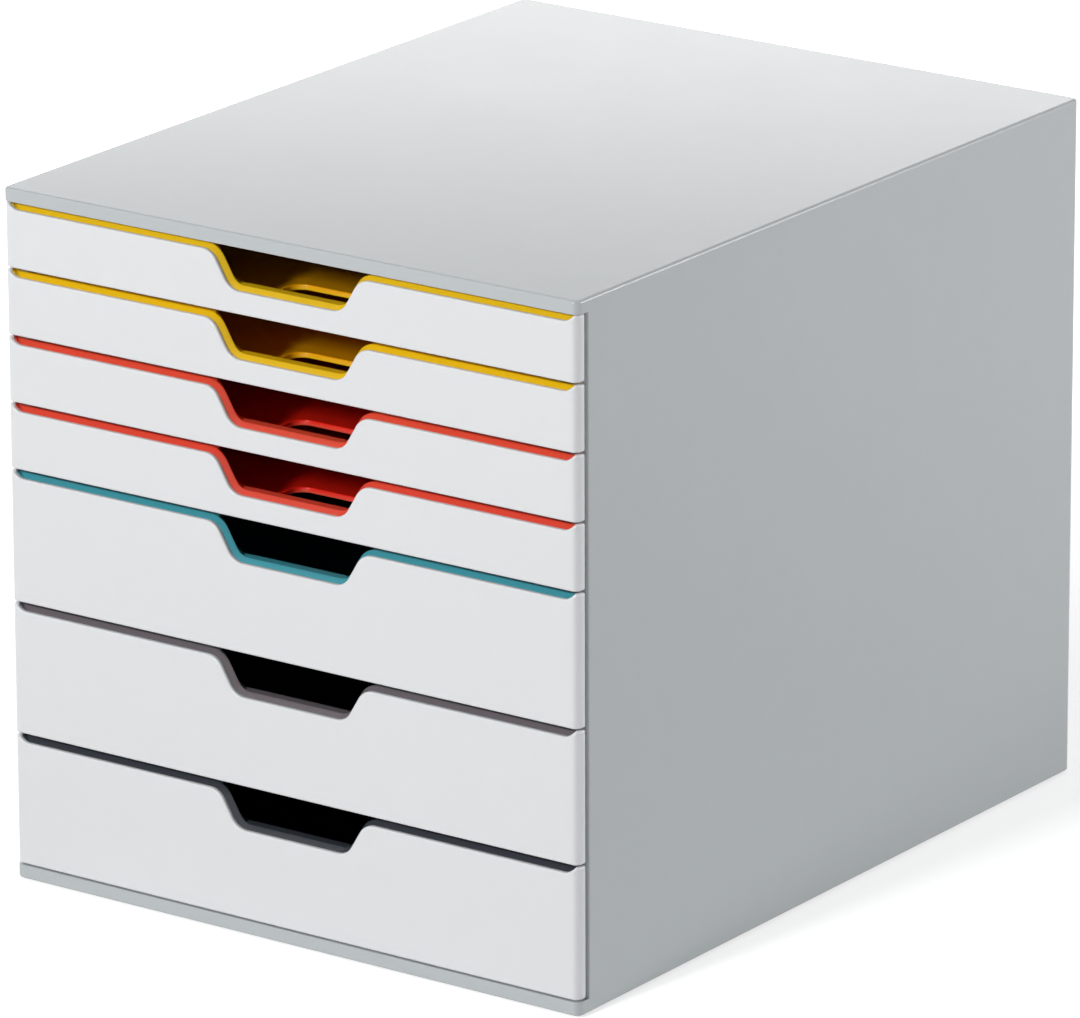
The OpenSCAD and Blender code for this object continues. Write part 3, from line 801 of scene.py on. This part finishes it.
def plastic(name, base, roughness, spread, tone, grain, wave, bump, ior=1.46):
    """A moulded plastic: its colour drifts and takes painted shade inside a tray, its gloss is uneven and the
    mould's surface shows in it.
    """
    made = bpy.data.materials.get(name)
    if made:
        return made
    made = bpy.data.materials.new(name)
    made.use_nodes = True
    tree = made.node_tree
    shader = tree.nodes["Principled BSDF"]
    shader.inputs["IOR"].default_value = ior
    colour_node, gloss, surface = (tree.nodes.new("ShaderNodeGroup") for _ in range(3))
    colour_node.node_tree = shared_group("Moulded tone", tone_and_shade_group)
    gloss.node_tree = shared_group("Uneven gloss", gloss_group)
    surface.node_tree = shared_group("Mould surface", grain_group)
    colour_node.inputs["Colour"].default_value = (*base, 1)
    # Painted shade inside a tray: a darker, more saturated copy of the colour
    colour_node.inputs["Deep colour"].default_value = (*(c * (c / max(base)) ** SHADE_POWER for c in base), 1)
    colour_node.inputs["Amount"].default_value = tone
    gloss.inputs["Roughness"].default_value = roughness
    gloss.inputs["Spread"].default_value = spread
    surface.inputs["Grain"].default_value = grain
    surface.inputs["Wave"].default_value = wave
    raised = tree.nodes.new("ShaderNodeBump")
    raised.inputs["Strength"].default_value = bump
    raised.inputs["Distance"].default_value = RELIEF
    linked(
        tree,
        [
            ((colour_node, 0), (shader, "Base Color")),
            ((gloss, 0), (shader, "Roughness")),
            ((surface, 0), (raised, "Height")),
            ((raised, 0), (shader, "Normal")),
        ],
    )
    for i, node in enumerate(tree.nodes):
        node.location = (NODE_STEP[0] * (i % NODE_ROW), NODE_STEP[1] * (i // NODE_ROW))
    return made


# The finish of each of the record's material slots: material's name, colour's name, roughness, spread of the
# roughness, drift of the tone, grain, waviness and strength of the relief. Four of the trays share theirs.
SHARED = 0.33, 0.06, 0.03, 0.3, 0.9, 0.2
HUES = ("yellow", "red", "teal", "taupe")
FINISHES = {f"tray_{hue}": (f"{hue.title()} tray plastic", hue, *SHARED) for hue in HUES} | {
    "housing_grey": ("Housing plastic", "housing", 0.20, 0.05, 0.025, 0.8, 1.0, 0.2),
    "runner_grey": ("Runner plastic", "runner", 0.5, 0.08, 0.03, 0.6, 0.4, 0.2),
    "front_white": ("Front plastic", "front", 0.34, 0.05, 0.012, 0.35, 1.2, 0.2),
    "tray_anthracite": ("Anthracite tray plastic", "anthracite", 0.33, 0.06, 0.04, 0.3, 0.9, 0.2),
    "foot_rubber": ("Foot rubber", "rubber", 0.8, 0.1, 0.08, 1.0, 0.3, 0.5),
}


def finish_of(slot):
    """The material of one of the record's material slots, in the user's colours."""
    name, hue, *rest = FINISHES[slot]
    return plastic(name, tuple(getattr(bpy.context.scene.tower_colours, hue)), *rest)


# ---- operators ----


class TOWER_OT_housing(bpy.types.Operator):
    """Give the housing, the back and the runner racks their moulded finishes"""

    bl_idname = "tower.housing"
    bl_label = "Housing and Runners"
    bl_options = {"REGISTER", "UNDO"}

    def execute(self, context):
        for node in ("housing_shell", "back_panel", "left_runner_rack", "right_runner_rack"):
            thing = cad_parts[node]
            thing.data.materials.clear()
            thing.data.materials.append(finish_of("runner_grey" if "rack" in node else "housing_grey"))
        return {"FINISHED"}


class TOWER_OT_fronts(bpy.types.Operator):
    """Build the seven white drawer fronts with their finger cut-outs"""

    bl_idname = "tower.fronts"
    bl_label = "Drawer Fronts"
    bl_options = {"REGISTER", "UNDO"}

    def execute(self, context):
        size = millimetres(context.scene.tower_sizes)
        for k in range(1, len(TRAY_SLOTS) + 1):
            node = f"front_{k}"
            low, high = box_mm(node)
            shells = front_sheet(size, low[2], high[2], high[0], high[1])
            shells.piece(f"drawer_front_{k}", finish_of("front_white"), "front_white", f"drawer_{k}", [node])
        return {"FINISHED"}


class TOWER_OT_trays(bpy.types.Operator):
    """Build the seven coloured trays with sloping lips, hollow rims, flanges and floors"""

    bl_idname = "tower.trays"
    bl_label = "Trays"
    bl_options = {"REGISTER", "UNDO"}

    def execute(self, context):
        size = millimetres(context.scene.tower_sizes)
        for k, slot in enumerate(TRAY_SLOTS, 1):
            shells = tray_shells(size, f"tray_{k}", f"front_{k}", k <= SHALLOW)
            tray = shells.piece(f"drawer_tray_{k}", finish_of(slot), slot, f"drawer_{k}", [f"tray_{k}"])
            mark_painted_shade(tray, size, f"tray_{k}", f"front_{k}")
        return {"FINISHED"}


class TOWER_OT_feet(bpy.types.Operator):
    """Build the four rubber feet with ringed undersides"""

    bl_idname = "tower.feet"
    bl_label = "Feet"
    bl_options = {"REGISTER", "UNDO"}

    def execute(self, context):
        for node in FEET:
            low, high = box_mm(node)
            shells = foot_shell((low + high) / 2, (high[0] - low[0]) / 2, low[2], high[2])
            shells.piece(f"rubber_{node}", finish_of("foot_rubber"), "foot_rubber", "housing", [node])
        return {"FINISHED"}


# Each lamp's azimuth to the right of straight ahead, its elevation, both in degrees, and its distance and
# width in metres, seen from the point that it aims at
LAMPS = {
    "key": (-5, 25, 4.0, 0.45),
    "side": (-45, 20, 4.0, 2.0),
    "back": (130, 6, 4.0, 1.6),
    "top": (0, 88, 1.6, 1.4),
    "edge": (-61, 50, 4.0, 1.1),
}
AIM = Vector((0, 0, 0.16))
# The low lamp behind the tower: its width and height, and its place, in metres
SHEEN_SIZE = (1.3, 0.22)
SHEEN_PLACE = Vector((-0.48, 0.9, 0.48))
# Width of the camera's sensor in millimetres, and the nearest and farthest that it sees in metres
SENSOR_WIDTH = 36
NEAREST, FARTHEST = 0.1, 60
# Height of the floor in metres: a hair below the feet
FLOOR_Z = -0.0002
# Colour of the even light, and white
SKY, WHITE = (0.98, 0.99, 1, 1), (1, 1, 1, 1)


class TOWER_OT_studio(bpy.types.Operator):
    """Set up the pale floor, the soft lamps and the camera"""

    bl_idname = "tower.studio"
    bl_label = "Floor, Lamps and Camera"
    bl_options = {"REGISTER", "UNDO"}

    def execute(self, context):
        scene, studio = context.scene, context.scene.tower_studio
        scene.view_settings.view_transform = "Standard"
        scene.world = studio_world(studio.sky)
        studio_floor(scene)
        for name, (azimuth, elevation, distance, width) in LAMPS.items():
            around, up = math.radians(azimuth), math.radians(elevation)
            way = Vector((math.sin(around) * math.cos(up), -math.cos(around) * math.cos(up), math.sin(up)))
            power = getattr(studio, name) * (math.pi * distance) ** 2
            lamp(scene, f"{name}_lamp", power, (width, width), AIM + way * distance, AIM)
        power = studio.sheen * math.pi * SHEEN_SIZE[0] * SHEEN_SIZE[1]
        lamp(scene, "sheen_lamp", power, SHEEN_SIZE, SHEEN_PLACE, AIM)
        camera = bpy.data.cameras.new("studio_camera")
        camera.lens, camera.sensor_width, camera.sensor_fit = studio.focal, SENSOR_WIDTH, "HORIZONTAL"
        camera.clip_start, camera.clip_end = NEAREST, FARTHEST
        stand = bpy.data.objects.new("studio_camera", camera)
        scene.collection.objects.link(stand)
        stand.matrix_world = camera_matrix(studio)
        scene.camera = stand
        return {"FINISHED"}


def studio_floor(scene, half_width=4.0, cells=8):
    """A square floor just below the feet."""
    side = np.linspace(-half_width, half_width, cells + 1)
    x, y = np.meshgrid(side, side, indexing="ij")
    n = np.arange(x.size).reshape(x.shape)
    quads = np.stack([n[:-1, :-1], n[1:, :-1], n[1:, 1:], n[:-1, 1:]], -1).reshape(-1, 4)
    points = np.stack([x, y, np.full(x.shape, FLOOR_Z)], -1).reshape(-1, 3)
    mesh = bpy.data.meshes.new("studio_floor")
    mesh.from_pydata(points.tolist(), [], quads.tolist())
    mesh.materials.append(floor_material())
    floor = bpy.data.objects.new("studio_floor", mesh)
    scene.collection.objects.link(floor)
    return floor


def camera_matrix(studio):
    """The camera's own axes: backwards from turn and height, sideways from that and up, then the roll."""
    az, el, roll = studio.turn, studio.height, studio.roll
    back = Vector((math.sin(az) * math.cos(el), -math.cos(az) * math.cos(el), math.sin(el)))
    right = Vector((0, 0, 1)).cross(back).normalized()
    up = back.cross(right)
    right, up = right * math.cos(roll) + up * math.sin(roll), up * math.cos(roll) - right * math.sin(roll)
    return Matrix.Translation(Vector(studio.place)) @ Matrix((right, up, back)).transposed().to_4x4()


def floor_material(shade=0.75, lift=0.6, near=0.35, far=0.9):
    """White floor: a diffuse shade that keeps the shadows, lifted to white for camera and mirror rays. The
    lift grows with the distance from the tower, so that the floor goes over into the white behind it."""
    made = bpy.data.materials.new("Studio floor")
    made.use_nodes = True
    tree = made.node_tree
    tree.nodes.clear()
    out, both = tree.nodes.new("ShaderNodeOutputMaterial"), tree.nodes.new("ShaderNodeAddShader")
    lit, glow = tree.nodes.new("ShaderNodeBsdfDiffuse"), tree.nodes.new("ShaderNodeEmission")
    lit.inputs["Color"].default_value = (shade, shade, shade, 1)
    (strength,), distance = maths(tree, "MULTIPLY"), tree.nodes.new("ShaderNodeVectorMath")
    distance.operation = "LENGTH"
    place, rising = tree.nodes.new("ShaderNodeTexCoord"), tree.nodes.new("ShaderNodeMapRange")
    for socket, value in zip(("From Min", "From Max", "To Min", "To Max"), (near, far, lift, 1)):
        rising.inputs[socket].default_value = value
    linked(
        tree,
        [
            ((place, "Object"), (distance, 0)),
            ((distance, "Value"), (rising, "Value")),
            ((seen_directly(tree), 0), (strength, 0)),
            ((rising, 0), (strength, 1)),
            ((strength, 0), (glow, "Strength")),
            ((lit, 0), (both, 0)),
            ((glow, 0), (both, 1)),
            ((both, 0), (out, "Surface")),
        ],
    )
    return made


def seen_directly(tree):
    """A node that is 1 for camera, glossy and transmission rays and 0 for the rays that light a surface."""
    path, (first, second) = tree.nodes.new("ShaderNodeLightPath"), maths(tree, "MAXIMUM", "MAXIMUM")
    linked(
        tree,
        [
            ((path, "Is Camera Ray"), (first, 0)),
            ((path, "Is Glossy Ray"), (first, 1)),
            ((first, 0), (second, 0)),
            ((path, "Is Transmission Ray"), (second, 1)),
        ],
    )
    return second


def studio_world(level):
    """Even light of the given level, seen as white by the camera and in reflections."""
    world = bpy.data.worlds.new("Studio")
    world.use_nodes = True
    tree = world.node_tree
    tree.nodes.clear()
    out, mix = tree.nodes.new("ShaderNodeOutputWorld"), tree.nodes.new("ShaderNodeMixShader")
    soft, white = tree.nodes.new("ShaderNodeBackground"), tree.nodes.new("ShaderNodeBackground")
    soft.inputs["Color"].default_value, white.inputs["Color"].default_value = SKY, WHITE
    soft.inputs["Strength"].default_value = level
    linked(
        tree,
        [
            ((seen_directly(tree), 0), (mix, 0)),
            ((soft, 0), (mix, 1)),
            ((white, 0), (mix, 2)),
            ((mix, 0), (out, "Surface")),
        ],
    )
    return world


def lamp(scene, name, power, size, place, target):
    """A soft rectangular lamp that faces a target."""
    light = bpy.data.lights.new(name, "AREA")
    light.shape = "RECTANGLE"
    light.energy, (light.size, light.size_y) = power, size
    stand = bpy.data.objects.new(name, light)
    scene.collection.objects.link(stand)
    stand.location = place
    stand.rotation_euler = (place - target).to_track_quat("Z", "Y").to_euler()


class TOWER_PT_panel(bpy.types.Panel):
    """Sizes, colours and building steps of the drawer tower"""

    bl_idname = "TOWER_PT_panel"
    bl_label = "Drawer Tower"
    bl_space_type = "VIEW_3D"
    bl_region_type = "UI"
    bl_category = "Drawer Tower"

    def draw(self, context):
        for step in STEPS:
            self.layout.operator(step.bl_idname)
        for name in GROUPS:
            box, group = self.layout.box(), getattr(context.scene, name)
            box.label(text=name.replace("_", " ").title())
            for value in group.__annotations__:
                box.prop(group, value)


STEPS = (TOWER_OT_housing, TOWER_OT_trays, TOWER_OT_fronts, TOWER_OT_feet, TOWER_OT_studio)
GROUPS = {"tower_sizes": TowerSizes, "tower_colours": TowerColours, "tower_studio": TowerStudio}


def register():
    for item in (*GROUPS.values(), *STEPS, TOWER_PT_panel):
        bpy.utils.register_class(item)
    for name, group in GROUPS.items():
        setattr(bpy.types.Scene, name, PointerProperty(type=group))


def unregister():
    for name in GROUPS:
        delattr(bpy.types.Scene, name)
    for item in (TOWER_PT_panel, *STEPS[::-1], *list(GROUPS.values())[::-1]):
        bpy.utils.unregister_class(item)


def main():
    register()
    bpy.ops.tower.housing()
    bpy.ops.tower.trays()
    bpy.ops.tower.fronts()
    bpy.ops.tower.feet()
    bpy.ops.tower.studio()


if __name__ == "__main__":
    main()
